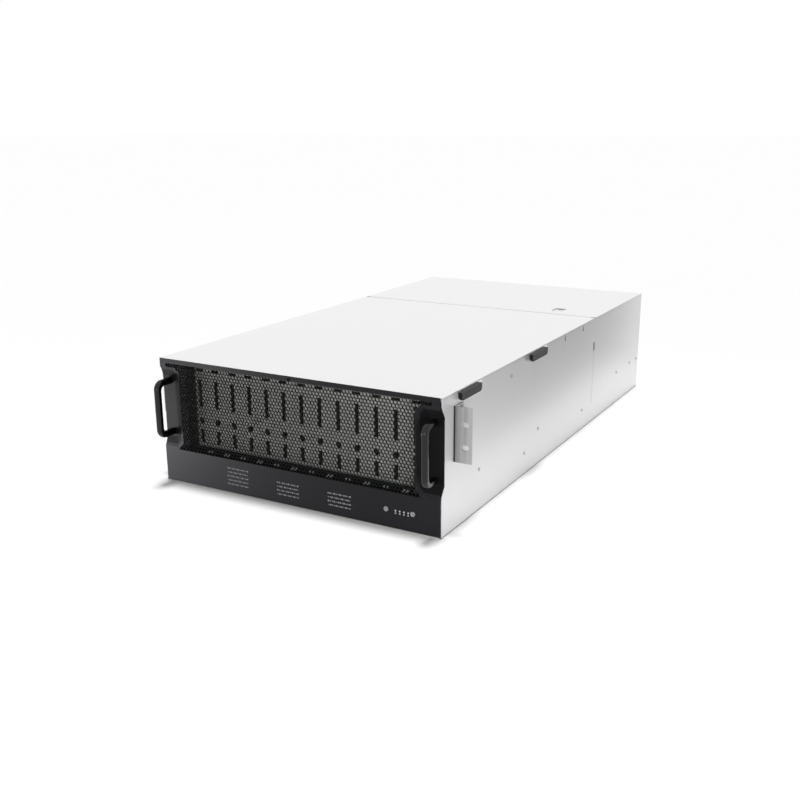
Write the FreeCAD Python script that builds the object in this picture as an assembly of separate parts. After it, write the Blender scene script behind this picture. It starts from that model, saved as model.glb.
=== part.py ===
import FreeCAD, Part
import math
import os

# Rack-mounted disk enclosure, loaded from the top, four rack units high. All sizes are in millimetres.
# The origin is the middle of the base's underside. +X is to the right as seen from the front, +Y runs to
# the back and +Z is up. Places along the case are given as depths behind the front face of the panel.

# Sheet metal and gaps
SHEET = 1.2
PANEL_SHEET = 2.0
RUN_GAP = 0.3
FLANGE_GAP = 0.5
MODULE_GAP = 0.4
PIN_GAP = 0.05
HOLE_GAP = 0.1

# Disk drives, standing on their connector end in columns and rows
DRIVE_WIDTH = 26.1
DRIVE_BREADTH = 101.6
DRIVE_LENGTH = 147.0
COLUMNS = 12
ROWS = 5
COLUMN_PITCH = 28.2
ROW_SPACE = 2.2
PARTITION = 1.0
ROW_END_SPACE = 1.4
MID_WALL_SPACE = 3.6

# Boards and grips under and over the drives
BOARD_STANDOFF = 6.8
BOARD = 2.4
BOARD_MARGIN = 3.0
CONNECTOR_HEIGHT = 5.0
CONNECTOR_WIDTH = 8.0
CONNECTOR_BREADTH = 44.0
GRIP_HEIGHT = 8.0
GRIP_WIDTH = 18.0
GRIP_LENGTH = 92.0
GRIP_FOOT = 12.0
GRIP_ARCH = 4.5
GRIP_SLANT = 5.0
COVER_ROOM = 4.4
RIB_WIDTH = 12.0
RIB_OFFSET = 100.0

# Cage round the drives
CAGE_SETBACK = 26.0
CAGE_MARGIN = 7.4
SIDE_CHANNEL = 39.5
CAGE_WALL_BOTTOM = 49.5
SLOT_WIDTH = 6.0
UPPER_SLOT = (105.7, 145.8)
LOWER_SLOT = (54.5, 74.3)
CAGE_HOLE_RADIUS = 4.5
CAGE_HOLE_HEIGHT = 86.8
TOP_DASH_WIDTH = 12.0
TOP_DASH = (157.4, 160.8)

# Status board with its light pipes
STATUS_BOARD = 1.6
STATUS_BOTTOM = 34.0
LENS_HEIGHT = 42.7
LENS_RADIUS = 1.3
LENS_LENGTH = 3.0
LENS_SPREAD = 2.6

# Front panel, its window and its handle pockets
PANEL_RAISE = 2.0
PANEL_INSET = 2.3
LIP_SETBACK = 0.6
LOWER_BAND = 46.4
TOP_STRIP = 5.8
TOP_ROW_BAND = 5.2
TOP_ROW_INSET = 10.5
POCKET_RIM = 1.4
POCKET_WIDTH = 31.5
POCKET_CHAMFER = 7.5
FLOOR_CHAMFER = 2.0
POCKET_DEPTH = 6.5
POCKET_INNER_RUN = 13.0
POCKET_SLOPE_RUN = 13.5
POCKET_TOP_MARGIN = 11.4
POCKET_BOTTOM_MARGIN = 49.0
POCKET_CUT_GAP = 0.4

# Perforated sheet: a coarser stand-in with the open share of the real 5 mm pattern
MESH_SHEET = 1.0
MESH_PITCH = 10.0
MESH_HOLE_FLATS = 8.0
MESH_EDGE = 2.0

# Handles
HANDLE_BAR = 9.0
HANDLE_REACH = 18.5
HANDLE_INSET = 9.7
HANDLE_MARGIN = 2.4
HANDLE_OUTER_ROUND = 13.0
HANDLE_INNER_ROUND = 6.0
HANDLE_EDGE_ROUND = 3.6
HANDLE_SCREW_RADIUS = 2.0
HANDLE_SCREW_LENGTH = 14.0
HANDLE_HEAD_RADIUS = 3.5
HANDLE_HEAD = 2.4

# Rack ears: 482.6 over both, with slots 465.1 apart, as a 19-inch rack asks
EAR_SHEET = 2.0
EAR_BEND = 3.0
EAR_SETBACK = 31.5
EAR_REACH = 24.0
EAR_BOTTOM = 89.4
EAR_HEIGHT = 70.0
EAR_FLANGE = 22.5
EAR_SLOT_LENGTH = 10.3
EAR_SLOT_WIDTH = 6.8
EAR_SLOT_INSET = 8.75
EAR_SLOT_SPACING = 28.575
EAR_SLOT_RAISE = 34.0
EAR_SCREW_INSET = 5.5
EAR_SCREW_SETBACK = 4.5

# Screws of the side walls: depth behind the front and height
SCREW_HEAD_RADIUS = 2.3
SCREW_HEAD = 0.9
SCREW_RADIUS = 1.5
SCREW_LENGTH = 2.8
SIDE_SCREWS = (
    (105.8, 55.9),
    (203.9, 157.0),
    (256.8, 31.9),
    (307.3, 54.7),
    (498.0, 32.7),
    (676.5, 55.7),
    (753.7, 56.9),
    (795.5, 55.7),
)

# Side wall seam
SEAM_SLOT_WIDTH = 8.0
SEAM_SLOT = (122.0, 136.0)
SEAM_SLIT_WIDTH = 0.8
SEAM_SLIT = (34.0, 122.0)
TOP_SLIT_WIDTH = 4.5
TOP_SLIT_HEIGHT = 8.0
TOP_SLIT_DROP = 11.5
TOP_SLITS = (408.0, 489.0)

# Front cover hinge
KNUCKLE_RADIUS = 2.0
KNUCKLE_GAP = 0.4
KNUCKLES = 9
HINGE_PIN_RADIUS = 1.0
HINGE_INSET = 6.0
HINGE_TO_WALL = 3.0
LEAF = 1.0
LEAF_WIDTH = 22.0
FLANGE_HEIGHT = 13.8
LIP_HEIGHT = 4.0
FLANGE_TO_HINGE = 14.0

# Rear cover and its flush pull
REAR_COVER_TRAVEL = 25.0
REAR_FLANGE_HEIGHT = 16.8
REAR_FLANGE_INSET = 2.0
PULL_WIDTH = 19.0
PULL_LENGTH = 23.0
PULL_OFFSET = 140.5
PULL_SETBACK = 28.0
PULL_CUP = 6.0
PULL_PLATE = 1.6
PULL_PIN_RADIUS = 1.0
PULL_GAP = 0.5
PULL_NOTCH = 7.0
THUMB_OFFSET = 150.0
THUMB_DROP = 9.0
THUMB_RADIUS = 5.0
THUMB_LENGTH = 8.0
THUMB_SHANK_RADIUS = 1.9
THUMB_SHANK = 9.0

# Side catches of the front cover
CATCH_LENGTH = 56.0
CATCH_HEIGHT = 10.0
CATCH_DEPTH = 5.0
CATCH_CHAMFER = 3.0
CATCH_TOP_GAP = 2.2
CATCH_SETBACKS = (41.5, 264.0)
CATCH_TRAVEL = 8.0
TONGUE_SHEET = 1.0
TONGUE_TAIL = 9.5
TONGUE_TAIL_HEIGHT = 4.0
TONGUE_HEIGHT = 6.0
TONGUE_TOP_GAP = 0.6
TONGUE_LENGTH = 8.0
TONGUE_THICKNESS = 3.0
TONGUE_REACH = 4.0
TONGUE_DROP = 8.5
TONGUE_GAP = 1.0

# Buttons, indicators and the board behind them
POWER_BUTTON_X = 141.2
LOCATE_BUTTON_X = 178.7
BUTTON_HEIGHT = 25.0
BUTTON_RADIUS = 3.2
BUTTON_PROUD = 0.8
BUTTON_LENGTH = 7.0
BUTTON_COLLAR = 1.0
BUTTON_COLLAR_RADIUS = 4.2
BUTTON_TRAVEL = 1.5
DIMPLE_RADIUS = 1.2
DIMPLE_DEPTH = 0.5
INDICATOR_TO_LOCATE = 6.35
INDICATOR_PITCH = 5.95
INDICATORS = 4
INDICATOR_RADIUS = 1.1
INDICATOR_PROUD = 0.2
CONTROL_BOARD = 1.6
CONTROL_MARGIN = 9.0
CONTROL_HEIGHT = 22.0
SWITCH_SIZE = 6.0
SWITCH_HEIGHT = 3.5
PILLAR_RADIUS = 2.0
PILLAR_INSET = 4.0

# Fans
FANS = 3
FAN_SIZE = 120.0
FAN_DEPTH = 38.0
FAN_PITCH = 136.0
FAN_WALL = 3.0
FAN_SPACE = 2.0
FAN_HUB_RADIUS = 20.0
FAN_HUB_PLATE = 4.0
FAN_STRUT = 4.0
ROTOR_HUB_RADIUS = 22.0
ROTOR_TIP_GAP = 1.5
ROTOR_GAP = 1.0
ROTOR_BLADES = 7
BLADE_THICKNESS = 2.0
BLADE_CHORD = 26.0
BLADE_PITCH = 42.0
FAN_SHAFT_RADIUS = 2.0

# Rear bays and what they hold
MIDPLANE_SPACE = 8.0
MIDPLANE_INSET = 8.0
BAY_DEPTH = 206.2
BAY_INSET = 4.3
BAY_BOTTOM = 6.2
MODULE_HEIGHT = 40.0
MODULE_BACK_GAP = 3.0
MODULE_WALL = 1.5
POWER_WIDTH = 86.0
INLET_WIDTH = 24.0
INLET_HEIGHT = 17.0
INLET_DEPTH = 18.0
INLET_INSET = 8.0
INLET_PIN = (2.0, 4.0, 11.0)
INLET_PIN_PITCH = 7.0
GRILLE_SLOTS = 9
GRILLE_PITCH = 4.6
GRILLE_SLOT_WIDTH = 2.8
GRILLE_SLOT_HEIGHT = 26.0
GRILLE_DEPTH = 4.0
GRILLE_INSET = 40.0
PULL_BAR = 5.0
PULL_BAR_REACH = 24.0
PULL_BAR_SPAN = 30.0
RELEASE_WIDTH = 6.0
RELEASE_HEIGHT = 12.0
RELEASE_REACH = 9.0
RELEASE_FOOT = 1.5
PORTS = 4
PORT_WIDTH = 19.5
PORT_HEIGHT = 8.6
PORT_DEPTH = 18.0
PORT_PITCH = 24.0
PORT_INSET = 150.0
PORT_DROP = 9.0
LEVER_LENGTH = 110.0
LEVER_HEIGHT = 9.0
LEVER_THICKNESS = 5.0
LEVER_INSET = 16.0
LEVER_RAISE = 13.0
LEVER_PIN_RADIUS = 2.0
LEVER_PIN_GAP = 0.06
LUG_THICKNESS = 2.0
LUG_ROUND = 4.0

# Rear panel vents
VENT_SLOTS = 40
VENT_PITCH = 10.0
VENT_WIDTH = 5.0
VENT_HEIGHT = 50.0
VENT_BOTTOM = 100.0

# Places worked out from the sizes above
CAGE_HALF = COLUMNS * COLUMN_PITCH / 2 + CAGE_MARGIN
INNER_HALF = CAGE_HALF + SIDE_CHANNEL
BODY_HALF = INNER_HALF + SHEET
PANEL_HALF = BODY_HALF - PANEL_INSET
BOARD_TOP = SHEET + BOARD_STANDOFF + BOARD
DRIVE_BOTTOM = BOARD_TOP + CONNECTOR_HEIGHT
DRIVE_TOP = DRIVE_BOTTOM + DRIVE_LENGTH
GRIP_TOP = DRIVE_TOP + GRIP_HEIGHT
COVER_BOTTOM = GRIP_TOP + COVER_ROOM
BODY_HEIGHT = COVER_BOTTOM + SHEET
WALL_TOP = COVER_BOTTOM - RUN_GAP
CAGE_BACK = CAGE_SETBACK + SHEET
FIRST_ROW = CAGE_BACK + ROW_END_SPACE
ROW_PITCH = DRIVE_BREADTH + ROW_SPACE
MID_WALL = FIRST_ROW + (ROWS - 1) * ROW_PITCH + DRIVE_BREADTH + MID_WALL_SPACE
HINGE_DEPTH = MID_WALL - HINGE_TO_WALL
HINGE_HEIGHT = BODY_HEIGHT - KNUCKLE_RADIUS
FAN_FRONT = MID_WALL + SHEET + FAN_SPACE
MIDPLANE = FAN_FRONT + FAN_DEPTH + MIDPLANE_SPACE
BAY_FRONT = MIDPLANE + BOARD
REAR_PANEL = BAY_FRONT + BAY_DEPTH
BODY_DEPTH = REAR_PANEL + SHEET
FRONT = -BODY_DEPTH / 2
MODULE_DEPTH = BODY_DEPTH - BAY_FRONT - MODULE_BACK_GAP
BAY_HALF = INNER_HALF - BAY_INSET
BAY_CLEAR = MODULE_HEIGHT + 2 * MODULE_GAP
BAY_TOP = BAY_BOTTOM + 3 * SHEET + 2 * BAY_CLEAR
DIVIDER = BAY_HALF - 2 * SHEET - POWER_WIDTH - 2 * MODULE_GAP
WINDOW_BOTTOM = PANEL_RAISE + LOWER_BAND
WINDOW_TOP = BODY_HEIGHT - TOP_STRIP
TOP_ROW_BOTTOM = WINDOW_TOP - TOP_ROW_BAND
POCKET_TOP = BODY_HEIGHT - POCKET_TOP_MARGIN
POCKET_BOTTOM = PANEL_RAISE + POCKET_BOTTOM_MARGIN
POCKET_FLOOR_BOTTOM = POCKET_BOTTOM + POCKET_SLOPE_RUN
POCKET_FLOOR_TOP = POCKET_TOP - POCKET_SLOPE_RUN
HANDLE_X = PANEL_HALF - HANDLE_INSET
FLANGE_OUTER = INNER_HALF - FLANGE_GAP
FLANGE_BOTTOM = COVER_BOTTOM - FLANGE_HEIGHT
TONGUE_CENTRE = BODY_HEIGHT - TONGUE_DROP
BUTTON_BACK = PANEL_SHEET + BUTTON_LENGTH
SWITCH_FACE = BUTTON_BACK + BUTTON_TRAVEL + RUN_GAP
CONTROL_FRONT = SWITCH_FACE + SWITCH_HEIGHT
FAN_CENTRE = SHEET + FAN_SIZE / 2
FAN_BORE = FAN_SIZE / 2 - FAN_WALL

# Cutting tools run this far past the faces that they cut
OVERCUT = 1.0

# Directions
RIGHT = FreeCAD.Vector(1, 0, 0)
BACK = FreeCAD.Vector(0, 1, 0)
UP = FreeCAD.Vector(0, 0, 1)


def vector(x, depth, z):
    """A point from a sideways place, a depth behind the panel's front and a height."""
    return FreeCAD.Vector(x, FRONT + depth, z)


def block(x_span, depth_span, z_span):
    """A box between two places in each direction."""
    (x0, x1), (d0, d1), (z0, z1) = x_span, depth_span, z_span
    return Part.makeBox(x1 - x0, d1 - d0, z1 - z0, vector(x0, d0, z0))


def centred(middle, width):
    """The span of a given width about a middle."""
    return (middle - width / 2, middle + width / 2)


def grown(span):
    """A span made longer at both ends by the overcut."""
    return (span[0] - OVERCUT, span[1] + OVERCUT)


def rod(start, direction, radius, length):
    """A cylinder from a start point along a direction."""
    return Part.makeCylinder(radius, length, start, direction)


def prism(points, along):
    """A flat outline of points, carried along a vector."""
    return Part.Face(Part.makePolygon(points + points[:1])).extrude(along)


def between(front_points, back_points):
    """A solid with flat sides between two outlines of matching points."""
    count = len(front_points)
    rings = [front_points, back_points[::-1]]
    for index in range(count):
        following = (index + 1) % count
        rings.append([front_points[index], front_points[following],
                      back_points[following], back_points[index]])
    faces = [Part.Face(Part.makePolygon(ring + ring[:1])) for ring in rings]
    solid = Part.makeSolid(Part.makeShell(faces))
    if solid.Volume < 0:
        solid.reverse()
    return solid


def mirrored(shape):
    """The same shape on the other side of the case."""
    return shape.mirror(FreeCAD.Vector(0, 0, 0), RIGHT)


def save(name, *solids):
    """Write one node, made of one solid or of several."""
    shape = solids[0] if len(solids) == 1 else Part.makeCompound(list(solids))
    shape.exportStep("parts/" + name + ".step")


def save_pair(name, shape):
    """Write a piece of the right side and its mirror image on the left."""
    save(name + "_right", shape)
    save(name + "_left", mirrored(shape))


def column_edges():
    """Sideways places of the lines between the columns of drives, and of the two outer edges."""
    return [(index - COLUMNS / 2) * COLUMN_PITCH for index in range(COLUMNS + 1)]


def column_middles():
    """Sideways places of the columns of drives."""
    return [edge + COLUMN_PITCH / 2 for edge in column_edges()[:-1]]


def row_starts():
    """Depths at which the rows of drives start."""
    return [FIRST_ROW + index * ROW_PITCH for index in range(ROWS)]


def pocket_tool(mouth_depth, mouth_outer, floor_outer):
    """The hollow of the right handle pocket, open to the side, from its mouth to its floor."""
    mouth_side = PANEL_HALF - POCKET_WIDTH
    floor_side = mouth_side + POCKET_INNER_RUN
    outlines = []
    for depth, outer, side, bottom, top, chamfer in (
        (mouth_depth, mouth_outer, mouth_side, POCKET_BOTTOM, POCKET_TOP, POCKET_CHAMFER),
        (mouth_depth + POCKET_DEPTH, floor_outer, floor_side, POCKET_FLOOR_BOTTOM, POCKET_FLOOR_TOP,
         FLOOR_CHAMFER),
    ):
        outlines.append([
            vector(outer, depth, bottom),
            vector(side + chamfer, depth, bottom),
            vector(side, depth, bottom + chamfer),
            vector(side, depth, top - chamfer),
            vector(side + chamfer, depth, top),
            vector(outer, depth, top),
        ])
    return between(outlines[0], outlines[1])


def window_field():
    """The main field of the window: its outline follows the pockets at a rim's distance."""
    rim = POCKET_RIM
    slant = rim * math.sqrt(2)
    side = PANEL_HALF - POCKET_WIDTH - rim
    chamfer_low = PANEL_HALF - POCKET_WIDTH + POCKET_CHAMFER + POCKET_BOTTOM - slant
    chamfer_high = PANEL_HALF - POCKET_WIDTH + POCKET_CHAMFER - POCKET_TOP - slant
    half = [
        (chamfer_low - WINDOW_BOTTOM, WINDOW_BOTTOM),
        (side, chamfer_low - side),
        (side, side - chamfer_high),
        (chamfer_high + TOP_ROW_BOTTOM, TOP_ROW_BOTTOM),
    ]
    other_half = [(-x, z) for x, z in half[::-1]]
    return [vector(x, 0, z) for x, z in half + other_half]


def window_top_row(sheet):
    """The wider strip of the window over the main field, as thick as a sheet."""
    half = PANEL_HALF - TOP_ROW_INSET
    return block((-half, half), (0, sheet), (TOP_ROW_BOTTOM, WINDOW_TOP))


def front_panel():
    """The black front plate with a window, the mouths of the handle pockets and holes for the controls."""
    panel = block((-PANEL_HALF, PANEL_HALF), (0, PANEL_SHEET), (PANEL_RAISE, BODY_HEIGHT))
    hollow = pocket_tool(0, BODY_HALF + OVERCUT, BODY_HALF + OVERCUT)
    cutters = [hollow, mirrored(hollow)]
    cutters.append(prism(window_field(), BACK * PANEL_SHEET))
    cutters.append(window_top_row(PANEL_SHEET))
    for x in (POWER_BUTTON_X, LOCATE_BUTTON_X):
        cutters.append(rod(vector(x, -OVERCUT, BUTTON_HEIGHT), BACK, BUTTON_RADIUS + RUN_GAP,
                           PANEL_SHEET + 2 * OVERCUT))
    for x in indicator_places():
        cutters.append(rod(vector(x, -OVERCUT, BUTTON_HEIGHT), BACK, INDICATOR_RADIUS + HOLE_GAP,
                           PANEL_SHEET + 2 * OVERCUT))
    return panel.cut(cutters).removeSplitter()


def handle_pocket():
    """The right handle pocket: a pan behind the panel, open and flared to the side, with two screw holes."""
    pan = pocket_tool(PANEL_SHEET, PANEL_HALF, BODY_HALF)
    cutters = [pocket_tool(0, BODY_HALF + OVERCUT, BODY_HALF + OVERCUT)]
    for z in handle_screw_heights():
        cutters.append(rod(vector(HANDLE_X, POCKET_DEPTH - OVERCUT, z), BACK, HANDLE_SCREW_RADIUS + HOLE_GAP,
                           PANEL_SHEET + 2 * OVERCUT))
    return pan.cut(cutters)


def front_mesh():
    """The perforated field that fills the window, flush with the panel, and the strip over it."""
    sheet = prism(window_field(), BACK * MESH_SHEET)
    corner = MESH_HOLE_FLATS / math.sqrt(3)
    row_step = MESH_PITCH * math.sqrt(3) / 2
    half_width = PANEL_HALF - POCKET_WIDTH - POCKET_RIM - MESH_EDGE - MESH_HOLE_FLATS / 2
    lowest = WINDOW_BOTTOM + MESH_EDGE + corner
    rows = int((TOP_ROW_BOTTOM - MESH_EDGE - corner - lowest) / row_step) + 1
    columns = int(half_width / MESH_PITCH)
    holes = []
    for row in range(rows):
        z = lowest + row * row_step
        shift = MESH_PITCH / 2 if row % 2 else 0
        for column in range(-columns - 1, columns + 1):
            x = column * MESH_PITCH + shift
            if abs(x) > half_width:
                continue
            points = []
            for turn in range(6):
                angle = math.radians(60 * turn)
                points.append(vector(x + corner * math.sin(angle), -OVERCUT, z + corner * math.cos(angle)))
            holes.append(prism(points, BACK * (MESH_SHEET + 2 * OVERCUT)))
    return [sheet.cut(Part.makeCompound(holes)), window_top_row(MESH_SHEET)]


def handle_screw_heights():
    """Heights of the two screws of a handle, on the middles of its legs."""
    low = POCKET_FLOOR_BOTTOM + HANDLE_MARGIN + HANDLE_BAR / 2
    high = POCKET_FLOOR_TOP - HANDLE_MARGIN - HANDLE_BAR / 2
    return (low, high)


def rounded_block(x_span, depth_span, z_span, radius):
    """A box whose two front edges that run sideways are rounded."""
    solid = block(x_span, depth_span, z_span)
    front = FRONT + depth_span[0]
    edges = []
    for edge in solid.Edges:
        box = edge.BoundBox
        if box.YMax < front + OVERCUT / 2 and box.ZLength < OVERCUT / 2:
            edges.append(edge)
    return solid.makeFillet(radius, edges)


def handle():
    """The right pull handle: a rounded bar on two legs that stand on the pocket's floor."""
    x_span = centred(HANDLE_X, HANDLE_BAR)
    z_span = (POCKET_FLOOR_BOTTOM + HANDLE_MARGIN, POCKET_FLOOR_TOP - HANDLE_MARGIN)
    outer_front = -HANDLE_REACH - HANDLE_BAR / 2
    outer = rounded_block(x_span, (outer_front, POCKET_DEPTH), z_span, HANDLE_OUTER_ROUND)
    gap_x = (x_span[0] - OVERCUT, x_span[1] + OVERCUT)
    gap_z = (z_span[0] + HANDLE_BAR, z_span[1] - HANDLE_BAR)
    gap = rounded_block(gap_x, (outer_front + HANDLE_BAR, POCKET_DEPTH + OVERCUT), gap_z, HANDLE_INNER_ROUND)
    bar = outer.cut(gap)
    floor = FRONT + POCKET_DEPTH
    edges = [edge for edge in bar.Edges
             if edge.BoundBox.XLength < OVERCUT / 2 and edge.BoundBox.YMin < floor - OVERCUT / 2]
    bar = bar.makeFillet(HANDLE_EDGE_ROUND, edges)
    threads = []
    for z in handle_screw_heights():
        threads.append(rod(vector(HANDLE_X, POCKET_DEPTH, z), -BACK, HANDLE_SCREW_RADIUS + PIN_GAP,
                           HANDLE_SCREW_LENGTH - PANEL_SHEET + OVERCUT))
    return bar.cut(threads)


def handle_screws():
    """The screws that hold both handles from behind the pockets."""
    screws = []
    for z in handle_screw_heights():
        seat = vector(HANDLE_X, POCKET_DEPTH + PANEL_SHEET, z)
        screw = rod(seat, BACK, HANDLE_HEAD_RADIUS, HANDLE_HEAD)
        screw = screw.fuse(rod(seat, -BACK, HANDLE_SCREW_RADIUS, HANDLE_SCREW_LENGTH))
        screws += [screw, mirrored(screw)]
    return screws


def ear_screw_places():
    """Depths and heights of the two screws of a rack ear."""
    depth = EAR_SETBACK + EAR_FLANGE - EAR_SCREW_SETBACK
    return ((depth, EAR_BOTTOM + EAR_SCREW_INSET), (depth, EAR_BOTTOM + EAR_HEIGHT - EAR_SCREW_INSET))


def rack_ear():
    """The right rack ear: a front plate with two slots, bent from a flange that lies on the side wall."""
    z_span = (EAR_BOTTOM, EAR_BOTTOM + EAR_HEIGHT)
    plate = block((BODY_HALF, BODY_HALF + EAR_REACH), (EAR_SETBACK, EAR_SETBACK + EAR_SHEET), z_span)
    flange = block((BODY_HALF, BODY_HALF + EAR_SHEET), (EAR_SETBACK, EAR_SETBACK + EAR_FLANGE), z_span)
    ear = plate.fuse(flange).removeSplitter()
    corner = block((BODY_HALF, BODY_HALF + EAR_BEND), (EAR_SETBACK, EAR_SETBACK + EAR_BEND), z_span)
    bend_axis = vector(BODY_HALF + EAR_BEND, EAR_SETBACK + EAR_BEND, EAR_BOTTOM)
    cutters = [corner.cut(rod(bend_axis, UP, EAR_BEND, EAR_HEIGHT))]
    radius = EAR_SLOT_WIDTH / 2
    straight = EAR_SLOT_LENGTH - EAR_SLOT_WIDTH
    through = (EAR_SETBACK - OVERCUT, EAR_SETBACK + EAR_SHEET + OVERCUT)
    for z in centred(EAR_BOTTOM + EAR_SLOT_RAISE, EAR_SLOT_SPACING):
        ends = centred(BODY_HALF + EAR_REACH - EAR_SLOT_INSET, straight)
        slot = block(ends, through, centred(z, EAR_SLOT_WIDTH))
        rounds = [rod(vector(x, through[0], z), BACK, radius, through[1] - through[0]) for x in ends]
        cutters.append(slot.fuse(rounds).removeSplitter())
    for depth, z in ear_screw_places():
        cutters.append(rod(vector(BODY_HALF - OVERCUT, depth, z), RIGHT, SCREW_RADIUS + HOLE_GAP,
                           EAR_SHEET + 2 * OVERCUT))
    return ear.cut(cutters)


def side_screw(lift, depth, z):
    """One button-head screw into the right side wall, its head lifted off the wall by what it holds."""
    start = vector(BODY_HALF + lift, depth, z)
    head = rod(start, RIGHT, SCREW_HEAD_RADIUS, SCREW_HEAD)
    return head.fuse(rod(start, -RIGHT, SCREW_RADIUS, SCREW_LENGTH + lift))


def top_slits(through):
    """Cutters for the narrow slits under the cover's edge, through the right wall and the cover's flange."""
    bottom = BODY_HEIGHT - TOP_SLIT_DROP
    z_span = (bottom, bottom + TOP_SLIT_HEIGHT)
    return [block(through, centred(depth, TOP_SLIT_WIDTH), z_span) for depth in TOP_SLITS]


def side_wall():
    """The right side wall, cut away behind the handle pocket and slotted for the catches."""
    wall = block((INNER_HALF, BODY_HALF), (PANEL_SHEET, BODY_DEPTH), (SHEET, WALL_TOP))
    through = (INNER_HALF - OVERCUT, BODY_HALF + OVERCUT)
    pocket = pocket_tool(PANEL_SHEET + POCKET_CUT_GAP, BODY_HALF + OVERCUT, BODY_HALF + OVERCUT)
    strip = block(through, (0, PANEL_SHEET + 2 * POCKET_CUT_GAP), (POCKET_BOTTOM, POCKET_TOP))
    cutters = [pocket, strip]
    cutters.append(block(through, centred(HINGE_DEPTH, SEAM_SLOT_WIDTH), SEAM_SLOT))
    cutters.append(block(through, centred(HINGE_DEPTH, SEAM_SLIT_WIDTH), SEAM_SLIT))
    cutters += top_slits(through)
    for setback in CATCH_SETBACKS:
        middle = setback + CATCH_LENGTH / 2
        reach = TONGUE_LENGTH / 2 + TONGUE_GAP
        span = (middle - reach - CATCH_TRAVEL, middle + reach)
        cutters.append(block(through, span, centred(TONGUE_CENTRE, TONGUE_THICKNESS + TONGUE_GAP)))
    for depth, z in SIDE_SCREWS + ear_screw_places():
        cutters.append(rod(vector(through[0], depth, z), RIGHT, SCREW_RADIUS + HOLE_GAP, SHEET + 2 * OVERCUT))
    return wall.cut(cutters)


def base_pan():
    """The base sheet with two ribs that carry the backplane boards."""
    plate = block((-BODY_HALF, BODY_HALF), (LIP_SETBACK, BODY_DEPTH), (0, SHEET))
    rows_span = (FIRST_ROW, row_starts()[-1] + DRIVE_BREADTH)
    rib = block(centred(RIB_OFFSET, RIB_WIDTH), rows_span, (SHEET, SHEET + BOARD_STANDOFF))
    return plate.fuse([rib, mirrored(rib)]).removeSplitter()


def slot_cutters(depth_span):
    """Cutters for the air slots between the columns, through a wall of the cage."""
    cutters = []
    for x in column_edges():
        for slot in (UPPER_SLOT, LOWER_SLOT):
            cutters.append(block(centred(x, SLOT_WIDTH), grown(depth_span), slot))
    return cutters


def cage_front_wall():
    """The pale wall behind the window: slots, round holes and short dashes between the columns."""
    depth_span = (CAGE_SETBACK, CAGE_BACK)
    wall = block((-CAGE_HALF, CAGE_HALF), depth_span, (CAGE_WALL_BOTTOM, GRIP_TOP))
    cutters = slot_cutters(depth_span)
    for x in column_edges():
        cutters.append(block(centred(x, TOP_DASH_WIDTH), grown(depth_span), TOP_DASH))
        cutters.append(rod(vector(x, CAGE_SETBACK - OVERCUT, CAGE_HOLE_HEIGHT), BACK, CAGE_HOLE_RADIUS,
                           SHEET + 2 * OVERCUT))
    return wall.cut(cutters)


def cage_side():
    """The right side of the drive cage."""
    return block((CAGE_HALF - SHEET, CAGE_HALF), (CAGE_BACK, MID_WALL), (SHEET, GRIP_TOP))


def row_partitions():
    """The slotted sheets between the rows of drives."""
    partitions = []
    half = CAGE_HALF - SHEET
    for start in row_starts()[1:]:
        depth_span = centred(start - ROW_SPACE / 2, PARTITION)
        sheet = block((-half, half), depth_span, (BOARD_TOP, DRIVE_TOP))
        partitions.append(sheet.cut(slot_cutters(depth_span)))
    return partitions


def status_board():
    """The dark board under the cage's front wall, which carries the light pipes."""
    depth_span = (CAGE_BACK - STATUS_BOARD, CAGE_BACK)
    return block((-CAGE_HALF, CAGE_HALF), depth_span, (STATUS_BOTTOM, CAGE_WALL_BOTTOM))


def status_lenses():
    """A pair of light pipes for each column."""
    lenses = []
    start = CAGE_BACK - STATUS_BOARD - LENS_LENGTH
    for middle in column_middles():
        for x in (middle - LENS_SPREAD, middle + LENS_SPREAD):
            lenses.append(rod(vector(x, start, LENS_HEIGHT), BACK, LENS_RADIUS, LENS_LENGTH))
    return lenses


def row_of_drives(start):
    """One row of drives, standing on their connectors."""
    depth_span = (start, start + DRIVE_BREADTH)
    return [block(centred(x, DRIVE_WIDTH), depth_span, (DRIVE_BOTTOM, DRIVE_TOP)) for x in column_middles()]


def carrier_grips():
    """An arched grip on top of each drive."""
    grips = []
    for start in row_starts():
        first = start + (DRIVE_BREADTH - GRIP_LENGTH) / 2
        last = first + GRIP_LENGTH
        outline = [
            (first, 0),
            (first + GRIP_FOOT, 0),
            (first + GRIP_FOOT + GRIP_SLANT, GRIP_ARCH),
            (last - GRIP_FOOT - GRIP_SLANT, GRIP_ARCH),
            (last - GRIP_FOOT, 0),
            (last, 0),
            (last - GRIP_SLANT, GRIP_HEIGHT),
            (first + GRIP_SLANT, GRIP_HEIGHT),
        ]
        for x in column_middles():
            points = [vector(x - GRIP_WIDTH / 2, depth, DRIVE_TOP + z) for depth, z in outline]
            grips.append(prism(points, RIGHT * GRIP_WIDTH))
    return grips


def backplane_boards():
    """One board under each row of drives."""
    half = CAGE_HALF - SHEET - BOARD_MARGIN
    boards = []
    for start in row_starts():
        depth_span = (start + BOARD_MARGIN, start + DRIVE_BREADTH - BOARD_MARGIN)
        boards.append(block((-half, half), depth_span, (BOARD_TOP - BOARD, BOARD_TOP)))
    return boards


def drive_connectors():
    """The connector under each drive."""
    connectors = []
    for start in row_starts():
        depth_span = centred(start + DRIVE_BREADTH / 2, CONNECTOR_BREADTH)
        for x in column_middles():
            connectors.append(block(centred(x, CONNECTOR_WIDTH), depth_span, (BOARD_TOP, DRIVE_BOTTOM)))
    return connectors


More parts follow.
